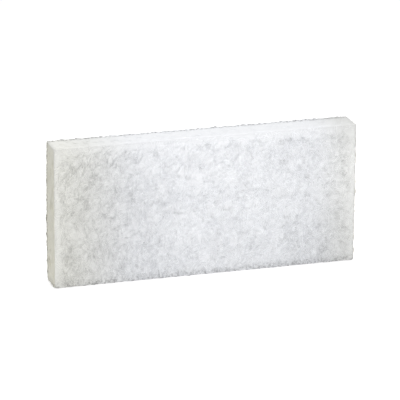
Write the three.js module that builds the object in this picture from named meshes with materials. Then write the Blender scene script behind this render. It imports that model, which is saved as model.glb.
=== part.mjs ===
// A nylon scouring pad: one block of lofty non-woven fibre web, cut to a rectangle and standing on a long narrow side.
// Millimetres. +X runs along the length, +Y through the thickness to the back face, +Z up.
// The origin is at the middle of the underside.
import * as THREE from "three";
import { ImprovedNoise } from "three/addons/math/ImprovedNoise.js";
import { mergeVertices } from "three/addons/utils/BufferGeometryUtils.js";

// The block
const padLength = 254;
const padHeight = 117;
const padThickness = 25;

// The cut outline
const cornerRadius = 2; // of the outline's corners, as the cutting die leaves them
const rimRadius = 2; // of the edge all round each large face, where the web springs back from the cut
const endBow = 0.6; // how far the middle of each short end stands out beyond its corners

// The web's open faces: clumps of fibre lie in the face's plane, with hollows between them
const hollowDepth = 1.5; // of the deepest hollows
const clumpSize = 15; // across a clump with its hollow
const tuftSize = 7; // across the smaller tufts that break up the clumps
const tuftShare = 0.7; // how much the tufts count beside the clumps
const hollowStart = -0.1; // web noise above which a hollow begins, so that about half of the face is clumps
const hollowFloor = 0.6; // web noise at which a hollow is at its deepest
const faceSeed = 3.7; // sets the pattern of the back face apart from that of the front
const firmBorder = 9; // inside the outline, where the cut packs the fibres and the hollows run out

// The net of points over the block
const facePitch = 4;
const edgePitch = 5; // through the thickness
const rimSteps = 2;

const padMaterial = new THREE.MeshStandardMaterial({ color: 0xe3e5e8, roughness: 0.95, metalness: 0 });

// Places along one side of the block from -size / 2 to size / 2: even steps over the flat, and at each end
// the steps of the rim, at equal angles round the rim's own centre.
function stations(size, pitch) {
  const flatHalf = size / 2 - rimRadius;
  const flatSteps = 2 * Math.max(1, Math.round(flatHalf / pitch));
  const flat = Array.from({ length: flatSteps + 1 }, (_, i) => -flatHalf + (2 * flatHalf * i) / flatSteps);
  const rim = Array.from({ length: rimSteps }, (_, i) => {
    const angle = ((i + 1) / rimSteps) * (Math.PI / 4);
    return flatHalf + rimRadius * Math.tan(angle);
  });
  return [...rim.map((place) => -place).reverse(), ...flat, ...rim];
}

// A closed box whose points stand at the stations of its three sides.
function netOverBlock() {
  const along = stations(padLength, facePitch);
  const through = stations(padThickness, edgePitch);
  const upward = stations(padHeight, facePitch);
  const spans = [along, through, upward].map((places) => places.length - 1);
  const box = new THREE.BoxGeometry(...spans, ...spans);
  box.deleteAttribute("normal");
  box.deleteAttribute("uv");
  const net = mergeVertices(box);
  const points = net.getAttribute("position");
  for (let i = 0; i < points.count; i++) {
    points.setXYZ(
      i,
      along[Math.round(points.getX(i) + spans[0] / 2)],
      through[Math.round(points.getY(i) + spans[1] / 2)],
      upward[Math.round(points.getZ(i) + spans[2] / 2)],
    );
  }
  return net;
}

// Draws a point of a square's outline in to the circle that touches its sides.
function ontoCircle(across, up) {
  const shrink = Math.max(across, up) / (Math.hypot(across, up) || 1);
  return [across * shrink, up * shrink];
}

// How far the web lies below the face's plane at a place on it: 0 on a clump, up to hollowDepth in a hollow,
// and 0 again at the firm border and on the cut sides.
const web = new ImprovedNoise();
function hollow(x, z, face) {
  const clumps = web.noise(x / clumpSize, z / clumpSize, faceSeed * face);
  const tufts = web.noise(x / tuftSize, z / tuftSize, faceSeed * face);
  const openness = THREE.MathUtils.smoothstep(clumps + tuftShare * tufts, hollowStart, hollowFloor);
  const inset = Math.min(padLength / 2 - Math.abs(x), padHeight / 2 - Math.abs(z));
  return hollowDepth * openness * THREE.MathUtils.smoothstep(inset, rimRadius, firmBorder);
}

// Moves a point of the block to its place on the pad, measured from the block's middle.
function shapePoint(point) {
  const corner = Math.max(cornerRadius, rimRadius);
  const coreX = THREE.MathUtils.clamp(point.x, corner - padLength / 2, padLength / 2 - corner);
  const coreZ = THREE.MathUtils.clamp(point.z, corner - padHeight / 2, padHeight / 2 - corner);
  const outX = point.x - coreX;
  const outZ = point.z - coreZ;
  const reach = Math.max(Math.abs(outX), Math.abs(outZ));

  // The rim's round, in the plane across the cut edge, and the hollows inside it
  const face = Math.sign(point.y);
  const pastFlat = Math.max(0, reach - (corner - rimRadius));
  const pastSide = Math.max(0, Math.abs(point.y) - (padThickness / 2 - rimRadius));
  const [roundOut, roundUp] = ontoCircle(pastFlat, pastSide);
  const newReach = reach - pastFlat + roundOut;
  const sunk = pastSide - roundUp + hollow(point.x, point.z, face);

  // The corner's round, in the plane of the large faces
  const turn = newReach / (Math.hypot(outX, outZ) || 1);
  const x = coreX + outX * turn;
  const z = coreZ + outZ * turn;
  const bow = 1 - (endBow / (padLength / 2)) * (z / (padHeight / 2)) ** 2;
  point.set(x * bow, point.y - face * sunk, z + padHeight / 2);
}

function scouringPad() {
  const geometry = netOverBlock();
  const points = geometry.getAttribute("position");
  const point = new THREE.Vector3();
  for (let i = 0; i < points.count; i++) {
    point.fromBufferAttribute(points, i);
    shapePoint(point);
    points.setXYZ(i, point.x, point.y, point.z);
  }
  geometry.computeVertexNormals();
  const mesh = new THREE.Mesh(geometry, padMaterial);
  mesh.name = "scouring_pad";
  return mesh;
}

const pad = new THREE.Group();
pad.add(scouringPad());

export default pad;
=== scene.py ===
# A white nylon scouring pad: one slab of crimped fibres, standing on a long narrow side.
# Metres, +Z up: +X runs along the pad and +Y through it to the back face.
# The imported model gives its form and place.
import math

import bmesh
import bpy
import numpy as np
from mathutils import Matrix, Vector, noise
from mathutils.bvhtree import BVHTree


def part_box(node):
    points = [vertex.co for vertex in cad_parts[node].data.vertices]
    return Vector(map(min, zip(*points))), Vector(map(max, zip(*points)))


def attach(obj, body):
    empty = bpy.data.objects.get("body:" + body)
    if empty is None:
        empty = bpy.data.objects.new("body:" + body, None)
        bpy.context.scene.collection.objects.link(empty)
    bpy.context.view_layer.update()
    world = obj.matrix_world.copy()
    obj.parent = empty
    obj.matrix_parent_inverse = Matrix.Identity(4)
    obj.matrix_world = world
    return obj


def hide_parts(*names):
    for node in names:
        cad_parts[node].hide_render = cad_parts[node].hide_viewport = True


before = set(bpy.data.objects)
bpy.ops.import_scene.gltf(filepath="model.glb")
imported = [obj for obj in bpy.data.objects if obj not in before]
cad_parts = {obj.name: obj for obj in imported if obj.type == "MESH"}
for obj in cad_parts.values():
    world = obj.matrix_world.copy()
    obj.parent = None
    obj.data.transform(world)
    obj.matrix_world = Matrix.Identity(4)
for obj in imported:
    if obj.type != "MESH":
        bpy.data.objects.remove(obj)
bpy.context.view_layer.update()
mm = 0.001
lowCorner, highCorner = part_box("scouring_pad")
middle = (lowCorner + highCorner) / 2


# Camera, as the photograph was taken: from far off with a long lens, a little to the left and from above
cameraView = {
    "turn": -17.1,  # degrees round the pad from straight in front
    "rise": 18.7,  # degrees above level
    "roll": 0.5,  # degrees
    "distance": 2.455,
    "farthest": 20,  # that the camera sees
    "focalPixels": 3040,
    "frameWidth": 400,  # pixels
    "sensorWidth": 36,  # millimetres
    "aside": -1.8 * mm,  # the middle of the frame from the middle of the pad
    "above": 0.95 * mm,
}


def addCamera():
    turn, rise, roll = (math.radians(cameraView[key]) for key in ("turn", "rise", "roll"))
    back = Vector((math.sin(turn) * math.cos(rise), -math.cos(turn) * math.cos(rise), math.sin(rise)))
    right = Vector((math.cos(turn), math.sin(turn), 0))
    up = back.cross(right)
    target = middle + right * cameraView["aside"] + up * cameraView["above"]
    rolledRight = right * math.cos(roll) + up * math.sin(roll)
    rolledUp = up * math.cos(roll) - right * math.sin(roll)
    lens = bpy.data.cameras.new("photoCamera")
    lens.sensor_width = cameraView["sensorWidth"]
    lens.lens = cameraView["focalPixels"] * cameraView["sensorWidth"] / cameraView["frameWidth"]
    lens.clip_end = cameraView["farthest"]
    holder = bpy.data.objects.new("photoCamera", lens)
    turned = Matrix((rolledRight, rolledUp, back)).transposed().to_4x4()
    holder.matrix_world = Matrix.Translation(target + back * cameraView["distance"]) @ turned
    bpy.context.scene.collection.objects.link(holder)
    bpy.context.scene.camera = holder


addCamera()
print("camera placed")


# Small helpers for meshes
def addPiece(name, mesh):
    piece = bpy.data.objects.new(name, mesh)
    bpy.context.scene.collection.objects.link(piece)
    return piece


def meshOf(piece):
    # The piece's mesh as its modifiers or its bevel make it
    depsgraph = bpy.context.evaluated_depsgraph_get()
    return bpy.data.meshes.new_from_object(piece.evaluated_get(depsgraph))


def readVectors(items, key):
    values = np.zeros(len(items) * 3, np.float32)
    items.foreach_get(key, values)
    return values.reshape(-1, 3).astype(float)


# Small helpers for nodes
def addNode(tree, kind, inputs=None, **settings):
    node = tree.nodes.new(kind)
    for name, value in settings.items():
        setattr(node, name, value)
    for socket, value in (inputs or {}).items():
        if isinstance(value, bpy.types.NodeSocket):
            tree.links.new(value, node.inputs[socket])
        else:
            node.inputs[socket].default_value = value
    return node


def addMath(tree, operation, *values):
    return addNode(tree, "ShaderNodeMath", dict(enumerate(values)), operation=operation).outputs[0]


def addRamp(tree, value, start, full, low=0.0, high=1.0, shape="SMOOTHSTEP"):
    # Runs from low, where the value is at the start, to high, where it is at full
    inputs = {"Value": value, "From Min": start, "From Max": full, "To Min": low, "To Max": high}
    return addNode(tree, "ShaderNodeMapRange", inputs, interpolation_type=shape).outputs["Result"]


def addDarkening(tree, shade, mask, amount):
    # The shade, less by the amount where the mask is 1
    left = addMath(tree, "MULTIPLY_ADD", mask, -amount, 1.0)
    return addMath(tree, "MULTIPLY", shade, left)


def newMaterial(name):
    material = bpy.data.materials.new(name)
    material.use_nodes = True
    material.node_tree.nodes.clear()
    return material, material.node_tree


# Colour of the web: a cool white, with painted shade in its gaps, where it is frayed and at the front rim of
# the top, and cream where it was cut
webColour = {
    "white": (0.92, 0.932, 0.955, 1),
    "cream": (0.925, 0.91, 0.8, 1),
    "mottle": 0.03,  # how much darker the web is between its clumps
    "mottleSpan": (1.25, 0.7),  # of the clumps' and tufts' noise together, down to where it is full
    "gapShade": 0.23,  # painted shade in the gaps between the strands: how much darker they are
    "gapFlocks": 0.35,  # how strongly the clumps close the pores in them
    "gapSpan": (0.37, 0.47),  # of the pores' noise, up to where the gaps are full
    "gapMiddle": 0.5,  # of the curls' noise
    "gapWidth": 0.11,  # to either side of that
    "frayShade": {"lowEdgeShade": 0.34, "backRimShade": 0.58, "rightRimShade": 0.2},  # painted shade of the frayed web: how much darker it is
    "fraySpan": (0.54, 0.42),  # of the noise of the painted fray shade, down to where the fibres stand apart
    "frayLeast": 0.1,  # of the painted shade, where the fibres lie close
    "rimPaintedShade": 0.05,  # painted shade at the front rim of the top, where light goes into the web and less of it comes back: how much darker
    "tints": {"cutEnds": 1.0, "leftGlow": 0.5, "rightGlow": 0.28},  # how much of the cream shows
}
webNoises = {  # their scales are per metre
    "clumps": {"Scale": 75.0, "Detail": 3.0, "Roughness": 0.55, "Distortion": 1.2},
    "tufts": {"Scale": 240.0, "Detail": 3.0, "Roughness": 0.55, "Distortion": 1.2},
    "pores": {"Scale": 230.0, "Detail": 2.0, "Distortion": 0.8},
    "curls": {"Scale": 175.0, "Detail": 1.0, "Distortion": 1.5},
    "frayShade": {"Scale": 480.0, "Detail": 1.0},
    "threads": {"Scale": 500.0, "Detail": 4.0, "Roughness": 0.6, "Distortion": 2.0},
    "resin": {"Scale": 900.0, "Detail": 2.0},
}
edgeStrip = 1.5 * mm  # inside an edge, where the web is as firm or as frayed as it gets
webZones = {  # how deep in from which sides a zone starts, and how deep in it is full
    "lofty": [("endsOrTop", edgeStrip, 9 * mm)],
    "lowEdgeShade": [("bottom", 7 * mm, edgeStrip)],
    "backRimShade": [("back", 8 * mm, 2 * mm), ("endsOrTop", 3 * mm, edgeStrip)],
    "rightRimShade": [("right", 2.5 * mm, 1 * mm), ("front", 4 * mm, 2 * mm)],
    "topRimShade": [("front", 2 * mm, 0.3 * mm), ("top", 6 * mm, 0.5 * mm)],
    "cutEnds": [("ends", 1.6 * mm, 0.4 * mm)],
    "leftGlow": [("left", 75 * mm, 0)],
    "rightGlow": [("right", 40 * mm, 0)],
}
greyPatches = [  # greyer places in the web, some of them painted shade: where, how wide, and how much darker
    # On the front, at the left and the lower right: greyer web, and painted shade of the light falling off
    # there
    {"place": (-90 * mm, lowCorner.y, 60 * mm), "radius": 80 * mm, "grey": 0.1},
    {"place": (115 * mm, lowCorner.y, 20 * mm), "radius": 65 * mm, "grey": 0.06},
    # At the top corners of the back: painted shade along the back rim
    {"place": (125 * mm, highCorner.y, highCorner.z), "radius": 45 * mm, "grey": 0.18},
    {"place": (-100 * mm, highCorner.y, highCorner.z), "radius": 45 * mm, "grey": 0.06},
]


def addWebNoise(tree, place, name, **settings):
    inputs = {"Vector": place, **webNoises[name]}
    return addNode(tree, "ShaderNodeTexNoise", inputs, **settings).outputs["Fac"]


def measureDepths(tree, place):
    # How deep a point lies in from each side of the pad, from the nearer end, and from that end or the top
    along, through, up = addNode(tree, "ShaderNodeSeparateXYZ", {0: place}).outputs
    depths = {
        "left": addMath(tree, "SUBTRACT", along, lowCorner.x),
        "right": addMath(tree, "SUBTRACT", highCorner.x, along),
        "front": addMath(tree, "SUBTRACT", through, lowCorner.y),
        "back": addMath(tree, "SUBTRACT", highCorner.y, through),
        "bottom": addMath(tree, "SUBTRACT", up, lowCorner.z),
        "top": addMath(tree, "SUBTRACT", highCorner.z, up),
    }
    depths["ends"] = addMath(tree, "MINIMUM", depths["left"], depths["right"])
    depths["endsOrTop"] = addMath(tree, "MINIMUM", depths["ends"], depths["top"])
    return depths


def addZone(tree, depths, name):
    # 1 where the zone is full and 0 outside it
    mask = 1.0
    for side, start, full in webZones[name]:
        mask = addMath(tree, "MULTIPLY", mask, addRamp(tree, depths[side], start, full))
    return mask


def addStrongest(tree, depths, amounts):
    # The strongest effect of several zones, each of which has its own amount
    strongest = 0.0
    for name, amount in amounts.items():
        effect = addMath(tree, "MULTIPLY", addZone(tree, depths, name), amount)
        strongest = addMath(tree, "MAXIMUM", strongest, effect)
    return strongest


def addGapShade(tree, place, depths, clumps):
    # Painted shade in short dark curls between the strands, in flocks that run out towards the ends and the
    # top
    pores = addWebNoise(tree, place, "pores")
    flocked = addMath(tree, "MULTIPLY_ADD", clumps, -webColour["gapFlocks"], pores)
    flocks = addRamp(tree, flocked, *webColour["gapSpan"], shape="LINEAR")
    fromMiddle = addMath(tree, "SUBTRACT", addWebNoise(tree, place, "curls"), webColour["gapMiddle"])
    curls = addRamp(tree, addMath(tree, "ABSOLUTE", fromMiddle), webColour["gapWidth"], 0.0)
    shadedGaps = addMath(tree, "MULTIPLY", flocks, curls)
    return addMath(tree, "MULTIPLY", shadedGaps, addZone(tree, depths, "lofty"))


def addFrayShade(tree, place, depths):
    # Painted shade at the lower edge and the rims where the ends of the fibres stand apart
    frayShade = addWebNoise(tree, place, "frayShade")
    apart = addRamp(tree, frayShade, *webColour["fraySpan"], low=webColour["frayLeast"], shape="LINEAR")
    return addMath(tree, "MULTIPLY", addStrongest(tree, depths, webColour["frayShade"]), apart)


def makeToneGroup():
    group = bpy.data.node_groups.new("webTone", "ShaderNodeTree")
    group.interface.new_socket("Position", in_out="INPUT", socket_type="NodeSocketVector")
    group.interface.new_socket("Shade", in_out="INPUT", socket_type="NodeSocketFloat")
    group.interface.new_socket("Color", in_out="OUTPUT", socket_type="NodeSocketColor")
    given = addNode(group, "NodeGroupInput").outputs
    place = given["Position"]
    depths = measureDepths(group, place)

    # Darker between the clumps; painted shade in the gaps and where the web is frayed; darker in the greyer
    # places, which are partly painted shade
    clumps = addWebNoise(group, place, "clumps")
    both = addMath(group, "ADD", clumps, addWebNoise(group, place, "tufts"))
    between = addRamp(group, both, *webColour["mottleSpan"], shape="LINEAR")
    shade = addDarkening(group, given["Shade"], between, webColour["mottle"])
    shade = addDarkening(group, shade, addGapShade(group, place, depths, clumps), webColour["gapShade"])
    for patch in greyPatches:
        inputs = {0: place, 1: patch["place"]}
        away = addNode(group, "ShaderNodeVectorMath", inputs, operation="DISTANCE").outputs["Value"]
        shade = addDarkening(group, shade, addRamp(group, away, patch["radius"], 0.0), patch["grey"])
    # Painted shade along the frayed lower edge and rims
    shade = addDarkening(group, shade, addFrayShade(group, place, depths), 1.0)

    # Painted shade at the front rim of the top, which takes down the highlight the lamps give it; in the real
    # web light goes into the web there and less of it comes back
    shade = addDarkening(group, shade, addZone(group, depths, "topRimShade"), webColour["rimPaintedShade"])

    # The cream of the cut ends, and its faint spread from them
    tint = addStrongest(group, depths, webColour["tints"])
    inputs = {"Factor": tint, 6: webColour["white"], 7: webColour["cream"]}
    colour = addNode(group, "ShaderNodeMix", inputs, data_type="RGBA").outputs[2]
    inputs = {0: colour, "Scale": shade}
    shaded = addNode(group, "ShaderNodeVectorMath", inputs, operation="SCALE").outputs["Vector"]
    addNode(group, "NodeGroupOutput", {"Color": shaded})
    return group


# How the web takes light: dull where it is packed, and a little smoother on the loose fibres
webFinish = {
    "threadBump": 0.12,
    "threadHeight": 0.4 * mm,
    "slabRoughness": 0.9,
    "slabSpecular": 0.2,
    "fibreRoughness": (0.45, 0.75),  # from the least resin on the nylon to the most
    "fibreSpecular": 0.1,
}


def makeSlabMaterial(toneGroup):
    material, tree = newMaterial("packedWeb")
    place = addNode(tree, "ShaderNodeTexCoord").outputs["Object"]
    shade = addNode(tree, "ShaderNodeAttribute", attribute_name="shade").outputs["Fac"]
    tone = addNode(tree, "ShaderNodeGroup", {"Position": place, "Shade": shade}, node_tree=toneGroup)
    threads = addWebNoise(tree, place, "threads", noise_type="RIDGED_MULTIFRACTAL")
    bump = addNode(
        tree, "ShaderNodeBump",
        {"Strength": webFinish["threadBump"], "Distance": webFinish["threadHeight"], "Height": threads},
    )
    shader = addNode(
        tree, "ShaderNodeBsdfPrincipled",
        {"Base Color": tone.outputs["Color"], "Roughness": webFinish["slabRoughness"],
         "Specular IOR Level": webFinish["slabSpecular"], "Normal": bump.outputs["Normal"]},
    )
    addNode(tree, "ShaderNodeOutputMaterial", {"Surface": shader.outputs[0]})
    return material


def makeFibreMaterial(toneGroup):
    material, tree = newMaterial("nylonFibre")
    place = addNode(tree, "ShaderNodeTexCoord").outputs["Object"]
    tone = addNode(tree, "ShaderNodeGroup", {"Position": place, "Shade": 1.0}, node_tree=toneGroup)
    bare, coated = webFinish["fibreRoughness"]
    roughness = addRamp(tree, addWebNoise(tree, place, "resin"), 0.0, 1.0, bare, coated, "LINEAR")
    shader = addNode(
        tree, "ShaderNodeBsdfPrincipled",
        {"Base Color": tone.outputs["Color"], "Roughness": roughness,
         "Specular IOR Level": webFinish["fibreSpecular"]},
    )
    addNode(tree, "ShaderNodeOutputMaterial", {"Surface": shader.outputs[0]})
    return material


toneGroup = makeToneGroup()
slabMaterial = makeSlabMaterial(toneGroup)
fibreMaterial = makeFibreMaterial(toneGroup)
print("materials ready")


# The slab: the CAD pad's own form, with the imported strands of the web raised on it
slab = {
    "voxel": 1.0 * mm,
    "mergeGap": 0.01 * mm,  # within which the CAD mesh's loose corners are one
    "inset": 0.45 * mm,  # of the strands below the pad's surface, which the loose fibres fill
    "pitDepth": 0.5 * mm,  # from the strands down to the deepest pits between them
    "cutPitDepth": 0.3 * mm,  # the same on the cut sides, where the web is seen edge on
    "firmBorder": 10 * mm,  # inside the top and the ends, where the web is packed and smooth
    "firmShare": 0.3,  # of the pits that are left there
    "faceSpan": (0.3, 0.9),  # how squarely the skin faces front or back, from cut side to large face
    "rimSpan": (0.02, 0.15),  # in rim radii, from the skin out to a sharp edge: from flat to rim
    "rightward": 0.5,  # how squarely the skin faces right, at the least, on the rims of the right end
    "rimRadius": 2.0 * mm,  # of the CAD pad's rims
    "rimFill": 0.3,  # of the way from that round to a sharp edge, which the web fills
    "frayedFill": 0.75,  # the same at the frayed rims
    "rimRagged": 1.2 * mm,  # how far the knots of the frayed rims stand out
    "knotSize": 4.0 * mm,
    "strandSize": 5.0 * mm,
    "fineSize": 0.45,  # of the finer strands, against the others
    "fineShare": 0.35,  # of the relief that is theirs
    "curlSize": 9.0 * mm,
    "curl": 3.0 * mm,
    "seed": 1,  # of the noise that curls the strands
    "sharpness": 3.0,
    "faceShade": 0.33,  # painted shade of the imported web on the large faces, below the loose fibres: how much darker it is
    "cutShade": 0.13,  # the same painted shade for the cut sides
    "pitShade": 0.06,  # painted shade in its pits: how much darker they are
}


def pitAt(place):
    # 0 on a strand and 1 in a pit: strands are the folds of a noise that a coarser one has curled
    curled = place + noise.noise_vector(place / slab["curlSize"]) * slab["curl"]
    fold = abs(noise.noise(curled / slab["strandSize"])) * slab["sharpness"]
    fine = abs(noise.noise(curled / (slab["fineSize"] * slab["strandSize"]))) * slab["sharpness"]
    return min(1.0, (1 - slab["fineShare"]) * fold + slab["fineShare"] * fine)


def knotAt(place):
    return max(0.0, noise.noise(place / slab["knotSize"]))


def smoothStep(values, start, end):
    part = np.clip((values - start) / (end - start), 0, 1)
    return part * part * (3 - 2 * part)


def firmness(places):
    # 1 at the top and the ends, where the cut packs the web, and 0 inside the firm border and at the bottom
    inset = np.minimum(highCorner.x - np.abs(places[:, 0]), highCorner.z - places[:, 2])
    return 1 - smoothStep(inset, edgeStrip, slab["firmBorder"])


def makeSlab():
    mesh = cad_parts["scouring_pad"].data.copy()
    form = bmesh.new()
    form.from_mesh(mesh)
    bmesh.ops.remove_doubles(form, verts=form.verts, dist=slab["mergeGap"])
    form.to_mesh(mesh)
    form.free()
    piece = addPiece("webSlab", mesh)
    remesh = piece.modifiers.new("evenMesh", "REMESH")
    remesh.mode = "VOXEL"
    remesh.voxel_size = slab["voxel"]
    evenMesh = meshOf(piece)
    piece.modifiers.clear()
    piece.data = evenMesh
    return piece


def raiseStrands(mesh):
    places = readVectors(mesh.vertices, "co")
    normals = readVectors(mesh.vertices, "normal")
    onFace = smoothStep(np.abs(normals[:, 1]), *slab["faceSpan"])
    firm = firmness(places)

    # Pits between the strands, which are shallower in the firm web and on the cut sides
    noise.seed_set(slab["seed"])
    pits = np.array([pitAt(Vector(place)) for place in places])
    pits *= 1 - (1 - slab["firmShare"]) * firm
    depth = pits * (slab["cutPitDepth"] + (slab["pitDepth"] - slab["cutPitDepth"]) * onFace)

    # The rims, sharper than the CAD pad's and ragged with knots where they are frayed
    sharp = 1 / np.max(np.abs(normals), axis=1) - 1
    onRim = smoothStep(sharp, *slab["rimSpan"])
    frayedRim = onRim * ((normals[:, 1] > 0) | (normals[:, 2] < 0) | (normals[:, 0] > slab["rightward"]))
    knots = np.array([knotAt(Vector(place)) for place in places])
    depth += slab["inset"] * onFace * (1 - onRim) * (1 - firm)
    fill = slab["rimFill"] + (slab["frayedFill"] - slab["rimFill"]) * frayedRim
    depth -= fill * slab["rimRadius"] * sharp + slab["rimRagged"] * knots * frayedRim

    places -= normals * depth[:, None]
    places[:, 2] = np.maximum(places[:, 2], lowCorner.z)
    mesh.vertices.foreach_set("co", places.astype(np.float32).ravel())
    # Painted shade: the web darker below the loose fibres, on the cut sides and in its pits
    shades = 1 - slab["cutShade"] * (1 - onFace) - slab["faceShade"] * onFace - slab["pitShade"] * pits
    mesh.attributes.new("shade", "FLOAT", "POINT").data.foreach_set("value", shades.astype(np.float32))
    mesh.shade_smooth()
    mesh.update()


webSlab = makeSlab()
skin = BVHTree.FromObject(webSlab, bpy.context.evaluated_depsgraph_get())
skinCentres = readVectors(webSlab.data.polygons, "center")
skinNormals = readVectors(webSlab.data.polygons, "normal")
raiseStrands(webSlab.data)
webSlab.data.materials.clear()
webSlab.data.materials.append(slabMaterial)
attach(webSlab, "root")
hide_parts("scouring_pad")
print("slab:", len(webSlab.data.polygons), "faces")


# The loose fibres: each runs over the slab's skin in a curl, and dips into the web at its ends
fibre = {
    "radius": 0.075 * mm,
    "corners": 3,  # of its section
    "steps": 10,
    "faceStep": 1.6 * mm,
    "cutStep": 0.9 * mm,  # shorter on the cut sides, where the die has cut the fibres through
    "faceLean": 0.7,  # how squarely the skin of a large face looks to the front or back, at the least
    "firmLoss": 0.6,  # of the strands, in the firm web
    "cutSpread": 0.6,  # radians that a heading on the cut sides strays from the web's layers
    "strands": 1280,  # in each piece
    "perStrand": 2,  # fibres that run together
    "strandWidth": 0.7 * mm,
    "headingSpread": 0.12,  # within a strand
    "tightestCurl": 4.5 * mm,  # radius
    "crimp": 0.35,  # radians to either side
    "crimpLength": 5.0 * mm,
    "crimpSpread": 0.5,  # radians of the crimp's wave, within a strand
    "endDip": 1.3 * mm,
    "dipPower": 6,  # the higher, the nearer the ends a fibre dips
    "floorGap": 0.05 * mm,
}
# How far over the skin the fibres run, and how much further the middle of one may rise
deepFibres = {"low": -0.45 * mm, "high": 0.1 * mm, "lift": 0.3 * mm}
tufts = {"low": -0.1 * mm, "high": 0.4 * mm, "lift": 0.5 * mm}
cutFibres = {"low": -0.4 * mm, "high": 0.1 * mm, "lift": 0.2 * mm}
fibrePieces = [  # side is -1 on the front face, 1 on the back face and 0 on the cut sides
    {"name": "frontFibres", "side": -1, **deepFibres},
    {"name": "frontTufts", "side": -1, **tufts},
    {"name": "backFibres", "side": 1, **deepFibres},
    {"name": "backTufts", "side": 1, **tufts},
    {"name": "cutEdgeFibres", "side": 0, **cutFibres},
]


def unit(vectors):
    return vectors / np.linalg.norm(vectors, axis=1, keepdims=True)


def startStrands(side, count, random):
    onFace = np.abs(skinNormals[:, 1]) > fibre["faceLean"]
    chosen = ~onFace if side == 0 else onFace & (np.sign(skinNormals[:, 1]) == side)
    weights = chosen * (1 - fibre["firmLoss"] * firmness(skinCentres))
    starts = random.choice(len(weights), count, p=weights / weights.sum())
    normals = skinNormals[starts]
    # The web's layers lie along the large faces, so fibres on the cut sides run along those
    grain = np.cross(normals, (0, 1, 0)) if side == 0 else np.tile((1.0, 0, 0), (count, 1))
    across = np.cross(normals, grain)
    spread = fibre["cutSpread"] if side == 0 else math.pi
    angles = random.uniform(-spread, spread, count)[:, None]
    return skinCentres[starts], unit(grain * np.cos(angles) + across * np.sin(angles))


def layFibres(settings, random):
    strands = fibre["strands"]
    together = fibre["perStrand"]
    count = strands * together
    starts, startHeadings = startStrands(settings["side"], strands, random)
    places = np.repeat(starts, together, 0) + random.normal(0, fibre["strandWidth"], (count, 3))
    headings = np.repeat(startHeadings, together, 0) + random.normal(0, fibre["headingSpread"], (count, 3))
    curls = np.repeat(random.uniform(-1, 1, strands) / fibre["tightestCurl"], together)
    phases = np.repeat(random.uniform(0, 2 * math.pi, strands), together)
    phases += random.normal(0, fibre["crimpSpread"], count)
    low = random.uniform(settings["low"], settings["high"], count)
    lift = random.uniform(0, settings["lift"], count)
    stepLength = fibre["cutStep"] if settings["side"] == 0 else fibre["faceStep"]
    paths = np.zeros((count, fibre["steps"] + 1, 3))
    for step in range(fibre["steps"] + 1):
        hits = [skin.find_nearest(Vector(place)) for place in places]
        onSkin = np.array([hit[0] for hit in hits])
        normals = np.array([hit[1] for hit in hits])
        headings = unit(headings - normals * np.sum(headings * normals, 1, keepdims=True))
        part = step / fibre["steps"]
        dip = fibre["endDip"] * abs(2 * part - 1) ** fibre["dipPower"]
        height = low + lift * math.sin(math.pi * part) - dip
        paths[:, step] = onSkin + normals * height[:, None]
        wave = 2 * math.pi * step * stepLength / fibre["crimpLength"]
        bend = curls * stepLength + fibre["crimp"] * np.cos(wave + phases)
        headings = headings * np.cos(bend)[:, None] + np.cross(normals, headings) * np.sin(bend)[:, None]
        places = onSkin + headings * stepLength
    paths[:, :, 2] = np.maximum(paths[:, :, 2], lowCorner.z + fibre["radius"] + fibre["floorGap"])
    return paths


def makeThreadSection():
    outline = bpy.data.curves.new("threadSection", "CURVE")
    ring = outline.splines.new("POLY")
    ring.points.add(fibre["corners"] - 1)
    for corner, point in enumerate(ring.points):
        angle = 2 * math.pi * corner / fibre["corners"]
        point.co = (fibre["radius"] * math.cos(angle), fibre["radius"] * math.sin(angle), 0, 1)
    ring.use_cyclic_u = True
    return addPiece("threadSection", outline)


def makeFibrePiece(settings, section, seed):
    random = np.random.default_rng(seed)
    curve = bpy.data.curves.new(settings["name"], "CURVE")
    curve.dimensions = "3D"
    curve.bevel_mode = "OBJECT"
    curve.bevel_object = section
    curve.use_fill_caps = True
    for path in layFibres(settings, random):
        spline = curve.splines.new("POLY")
        spline.points.add(len(path) - 1)
        spline.points.foreach_set("co", np.column_stack([path, np.ones(len(path))]).ravel())
    drawn = addPiece(settings["name"] + "Curve", curve)
    mesh = meshOf(drawn)
    mesh.name = settings["name"]
    bpy.data.objects.remove(drawn)
    mesh.shade_smooth()
    mesh.materials.clear()
    mesh.materials.append(fibreMaterial)
    piece = addPiece(settings["name"], mesh)
    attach(piece, "root")
    mesh.calc_loop_triangles()
    print(settings["name"] + ":", len(mesh.loop_triangles), "triangles")


threadSection = makeThreadSection()
for seed, settings in enumerate(fibrePieces):
    makeFibrePiece(settings, threadSection, seed)
bpy.data.objects.remove(threadSection)


# The floor, white to the camera but for the pad's shadow, and the lamps
room = {
    "floorSize": 12,
    "floorWhite": (0.8, 0.8, 0.8, 1),
    "floorLift": 0.42,  # added to what the camera sees of the floor
    "worldWhite": (1, 1, 1, 1),
    "worldStrength": 0.67,  # on the pad
    "worldSeen": 1.0,  # what the camera sees of it
    "lamps": [
        {"name": "keyLamp", "power": 0.74, "place": Vector((0.01, -0.3, 0.14)), "size": 0.2},
        {"name": "skyLamp", "power": 2.0, "place": Vector((-0.03, 0.2, 0.8)), "size": 0.6},
        {"name": "backLamp", "power": 3.0, "place": Vector((0, 0.65, 0.15)), "size": 0.4},
    ],
}


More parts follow.
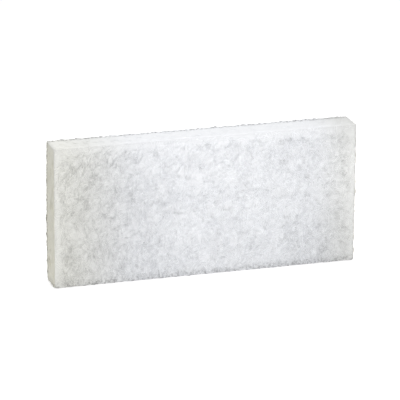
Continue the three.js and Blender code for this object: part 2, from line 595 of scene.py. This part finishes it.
def addSeen(tree):
    # 1 for what the camera sees, also in a mirror or through glass
    path = addNode(tree, "ShaderNodeLightPath").outputs
    direct = addMath(tree, "MAXIMUM", path["Is Camera Ray"], path["Is Glossy Ray"])
    return addMath(tree, "MAXIMUM", direct, path["Is Transmission Ray"])


def addFloor():
    form = bmesh.new()
    bmesh.ops.create_grid(form, x_segments=1, y_segments=1, size=room["floorSize"] / 2)
    mesh = bpy.data.meshes.new("floor")
    form.to_mesh(mesh)
    form.free()
    floor = addPiece("floor", mesh)
    material, tree = newMaterial("floorPaper")
    paper = addNode(tree, "ShaderNodeBsdfDiffuse", {"Color": room["floorWhite"]}).outputs[0]
    glow = addNode(tree, "ShaderNodeEmission", {"Strength": room["floorLift"]}).outputs[0]
    bright = addNode(tree, "ShaderNodeAddShader", {0: paper, 1: glow}).outputs[0]
    surface = addNode(tree, "ShaderNodeMixShader", {0: addSeen(tree), 1: paper, 2: bright}).outputs[0]
    addNode(tree, "ShaderNodeOutputMaterial", {"Surface": surface})
    mesh.materials.append(material)


def addLamp(settings):
    lamp = bpy.data.lights.new(settings["name"], "AREA")
    lamp.shape = "DISK"
    lamp.size = settings["size"]
    lamp.energy = settings["power"]
    holder = bpy.data.objects.new(settings["name"], lamp)
    holder.location = settings["place"]
    holder.rotation_euler = (middle - settings["place"]).to_track_quat("-Z", "Y").to_euler()
    bpy.context.scene.collection.objects.link(holder)


def addWorld():
    world = bpy.data.worlds.new("studio")
    world.use_nodes = True
    tree = world.node_tree
    tree.nodes.clear()
    lit, white = (
        addNode(tree, "ShaderNodeBackground", {"Color": room["worldWhite"], "Strength": room[key]}).outputs[0]
        for key in ("worldStrength", "worldSeen")
    )
    surface = addNode(tree, "ShaderNodeMixShader", {0: addSeen(tree), 1: lit, 2: white}).outputs[0]
    addNode(tree, "ShaderNodeOutputWorld", {"Surface": surface})
    bpy.context.scene.world = world


addFloor()
for lampSettings in room["lamps"]:
    addLamp(lampSettings)
addWorld()
bpy.context.scene.view_settings.view_transform = "Standard"
print("floor and lamps ready")
